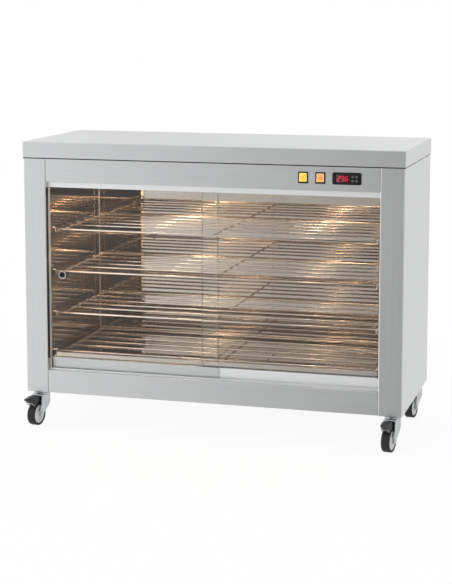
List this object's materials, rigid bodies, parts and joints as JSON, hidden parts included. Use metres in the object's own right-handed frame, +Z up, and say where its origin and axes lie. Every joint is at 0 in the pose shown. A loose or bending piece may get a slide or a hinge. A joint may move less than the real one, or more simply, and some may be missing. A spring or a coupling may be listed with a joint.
{
  "type": "heated display cabinet",
  "caption": "Low heated food display cabinet in stainless steel: overlapping sliding glass doors, wire shelves on side racks, control fascia with display, swivel castors with front brakes.",
  "frame": {"origin": "on the floor, under the middle of the whole object's bounding box", "axes": "+X to the right along the width, as seen from the front; -Y is the front with the doors and controls; +Z up"},
  "size_m": [1.054, 0.4988, 0.79],
  "materials": {
    "top_cap": "brushed stainless, fine grain along the width",
    "left_side_panel": "brushed stainless",
    "right_side_panel": "brushed stainless",
    "rear_panel": "brushed stainless",
    "base_pan": "zinc-plated",
    "bottom_rail": "brushed stainless",
    "control_fascia": "brushed stainless",
    "top_track": "satin",
    "sill_track": "satin",
    "left_glass_door": "clear, polished edges",
    "right_glass_door": "clear, polished edges",
    "door_finger_pull": "black",
    "inner_left_wall": "bright polished stainless",
    "inner_right_wall": "bright polished stainless",
    "inner_back_wall": "bright polished stainless",
    "inner_floor": "bright polished stainless",
    "inner_ceiling": "bright polished stainless",
    "left_shelf_rack": "chromed wire",
    "right_shelf_rack": "chromed wire",
    "left_lamp_holder": "glazed",
    "right_lamp_holder": "glazed",
    "left_lamp_bulb": "warm, lit",
    "right_lamp_bulb": "warm, lit",
    "heating_element": "oxidised sheath",
    "left_element_bracket": "zinc-plated",
    "right_element_bracket": "zinc-plated",
    "temperature_probe": "stainless",
    "cable_gland": "black",
    "heating_switch_housing": "black",
    "light_switch_housing": "black",
    "heating_switch_rocker": "translucent amber, lit",
    "light_switch_rocker": "translucent orange, lit",
    "controller_body": "black",
    "controller_window": "dark red, lit digits",
    "wire_shelf_1": "chromed wire",
    "wire_shelf_2": "chromed wire",
    "wire_shelf_3": "chromed wire",
    "wire_shelf_4": "chromed wire",
    "upper_left_key": "dark grey",
    "upper_right_key": "dark grey",
    "lower_left_key": "dark grey",
    "lower_right_key": "dark grey",
    "front_left_castor_head": "zinc-plated",
    "front_left_castor_fork": "zinc-plated",
    "front_left_wheel_hub": "light grey",
    "front_left_tyre": "black",
    "front_left_brake_pedal": "dark grey",
    "front_right_castor_head": "zinc-plated",
    "front_right_castor_fork": "zinc-plated",
    "front_right_wheel_hub": "light grey",
    "front_right_tyre": "black",
    "front_right_brake_pedal": "dark grey",
    "rear_left_castor_head": "zinc-plated",
    "rear_left_castor_fork": "zinc-plated",
    "rear_left_wheel_hub": "light grey",
    "rear_left_tyre": "black",
    "rear_right_castor_head": "zinc-plated",
    "rear_right_castor_fork": "zinc-plated",
    "rear_right_wheel_hub": "light grey",
    "rear_right_tyre": "black"
  },
  "bodies": {
    "cabinet": {"top_cap": "top_cap", "left_side_panel": "left_side_panel", "right_side_panel": "right_side_panel", "rear_panel": "rear_panel", "base_pan": "base_pan", "bottom_rail": "bottom_rail", "control_fascia": "control_fascia", "top_track": "top_track", "sill_track": "sill_track", "inner_left_wall": "inner_left_wall", "inner_right_wall": "inner_right_wall", "inner_back_wall": "inner_back_wall", "inner_floor": "inner_floor", "inner_ceiling": "inner_ceiling", "left_shelf_rack": "left_shelf_rack", "right_shelf_rack": "right_shelf_rack", "left_lamp_holder": "left_lamp_holder", "right_lamp_holder": "right_lamp_holder", "left_lamp_bulb": "left_lamp_bulb", "right_lamp_bulb": "right_lamp_bulb", "heating_element": "heating_element", "left_element_bracket": "left_element_bracket", "right_element_bracket": "right_element_bracket", "temperature_probe": "temperature_probe", "cable_gland": "cable_gland", "heating_switch_housing": "heating_switch_housing", "light_switch_housing": "light_switch_housing", "controller_body": "controller_body", "controller_window": "controller_window", "wire_shelf_1": "wire_shelf_1", "wire_shelf_2": "wire_shelf_2", "wire_shelf_3": "wire_shelf_3", "wire_shelf_4": "wire_shelf_4", "front_left_castor_head": "front_left_castor_head", "front_right_castor_head": "front_right_castor_head", "rear_left_castor_head": "rear_left_castor_head", "rear_right_castor_head": "rear_right_castor_head"},
    "left_door": {"left_glass_door": "left_glass_door", "door_finger_pull": "door_finger_pull"},
    "right_door": {"right_glass_door": "right_glass_door"},
    "heating_rocker": {"heating_switch_rocker": "heating_switch_rocker"},
    "light_rocker": {"light_switch_rocker": "light_switch_rocker"},
    "upper_left_key_body": {"upper_left_key": "upper_left_key"},
    "upper_right_key_body": {"upper_right_key": "upper_right_key"},
    "lower_left_key_body": {"lower_left_key": "lower_left_key"},
    "lower_right_key_body": {"lower_right_key": "lower_right_key"},
    "front_left_fork": {"front_left_castor_fork": "front_left_castor_fork"},
    "front_left_wheel": {"front_left_wheel_hub": "front_left_wheel_hub", "front_left_tyre": "front_left_tyre"},
    "front_left_pedal": {"front_left_brake_pedal": "front_left_brake_pedal"},
    "front_right_fork": {"front_right_castor_fork": "front_right_castor_fork"},
    "front_right_wheel": {"front_right_wheel_hub": "front_right_wheel_hub", "front_right_tyre": "front_right_tyre"},
    "front_right_pedal": {"front_right_brake_pedal": "front_right_brake_pedal"},
    "rear_left_fork": {"rear_left_castor_fork": "rear_left_castor_fork"},
    "rear_left_wheel": {"rear_left_wheel_hub": "rear_left_wheel_hub", "rear_left_tyre": "rear_left_tyre"},
    "rear_right_fork": {"rear_right_castor_fork": "rear_right_castor_fork"},
    "rear_right_wheel": {"rear_right_wheel_hub": "rear_right_wheel_hub", "rear_right_tyre": "rear_right_tyre"}
  },
  "joints": [
    {"name": "left_door_slide", "type": "slide", "parent": "cabinet", "child": "left_door", "axis": [1, 0, 0], "range_m": [0, 0.4355]},
    {"name": "right_door_slide", "type": "slide", "parent": "cabinet", "child": "right_door", "axis": [1, 0, 0], "range_m": [-0.4355, 0]},
    {"name": "heating_rocker_tilt", "type": "hinge", "parent": "cabinet", "child": "heating_rocker", "pos_m": [0.258, -0.19217, 0.7145], "axis": [1, 0, 0], "range_deg": [0, 16]},
    {"name": "light_rocker_tilt", "type": "hinge", "parent": "cabinet", "child": "light_rocker", "pos_m": [0.3037, -0.19217, 0.7145], "axis": [1, 0, 0], "range_deg": [0, 16]},
    {"name": "upper_left_key_press", "type": "slide", "parent": "cabinet", "child": "upper_left_key_body", "axis": [0, 1, 0], "range_m": [0, 0.0005], "stiffness_N_per_m": 600},
    {"name": "upper_right_key_press", "type": "slide", "parent": "cabinet", "child": "upper_right_key_body", "axis": [0, 1, 0], "range_m": [0, 0.0005], "stiffness_N_per_m": 600},
    {"name": "lower_left_key_press", "type": "slide", "parent": "cabinet", "child": "lower_left_key_body", "axis": [0, 1, 0], "range_m": [0, 0.0005], "stiffness_N_per_m": 600},
    {"name": "lower_right_key_press", "type": "slide", "parent": "cabinet", "child": "lower_right_key_body", "axis": [0, 1, 0], "range_m": [0, 0.0005], "stiffness_N_per_m": 600},
    {"name": "front_left_swivel", "type": "hinge", "parent": "cabinet", "child": "front_left_fork", "pos_m": [-0.495, -0.16387, 0.082], "axis": [0, 0, 1], "continuous": true},
    {"name": "front_left_wheel_spin", "type": "hinge", "parent": "front_left_fork", "child": "front_left_wheel", "pos_m": [-0.49922, -0.19054, 0.031], "axis": [0.9877, -0.1564, 0], "continuous": true},
    {"name": "front_left_brake_press", "type": "hinge", "parent": "front_left_fork", "child": "front_left_pedal", "pos_m": [-0.49719, -0.1777, 0.072], "axis": [0.9877, -0.1564, 0], "range_deg": [0, 5]},
    {"name": "front_right_swivel", "type": "hinge", "parent": "cabinet", "child": "front_right_fork", "pos_m": [0.495, -0.16387, 0.082], "axis": [0, 0, 1], "continuous": true},
    {"name": "front_right_wheel_spin", "type": "hinge", "parent": "front_right_fork", "child": "front_right_wheel", "pos_m": [0.49078, -0.19054, 0.031], "axis": [0.9877, -0.1564, 0], "continuous": true},
    {"name": "front_right_brake_press", "type": "hinge", "parent": "front_right_fork", "child": "front_right_pedal", "pos_m": [0.49281, -0.1777, 0.072], "axis": [0.9877, -0.1564, 0], "range_deg": [0, 5]},
    {"name": "rear_left_swivel", "type": "hinge", "parent": "cabinet", "child": "rear_left_fork", "pos_m": [-0.495, 0.20113, 0.082], "axis": [0, 0, 1], "continuous": true},
    {"name": "rear_left_wheel_spin", "type": "hinge", "parent": "rear_left_fork", "child": "rear_left_wheel", "pos_m": [-0.49922, 0.17446, 0.031], "axis": [0.9877, -0.1564, 0], "continuous": true},
    {"name": "rear_right_swivel", "type": "hinge", "parent": "cabinet", "child": "rear_right_fork", "pos_m": [0.495, 0.20113, 0.082], "axis": [0, 0, 1], "continuous": true},
    {"name": "rear_right_wheel_spin", "type": "hinge", "parent": "rear_right_fork", "child": "rear_right_wheel", "pos_m": [0.49078, 0.17446, 0.031], "axis": [0.9877, -0.1564, 0], "continuous": true}
  ]
}
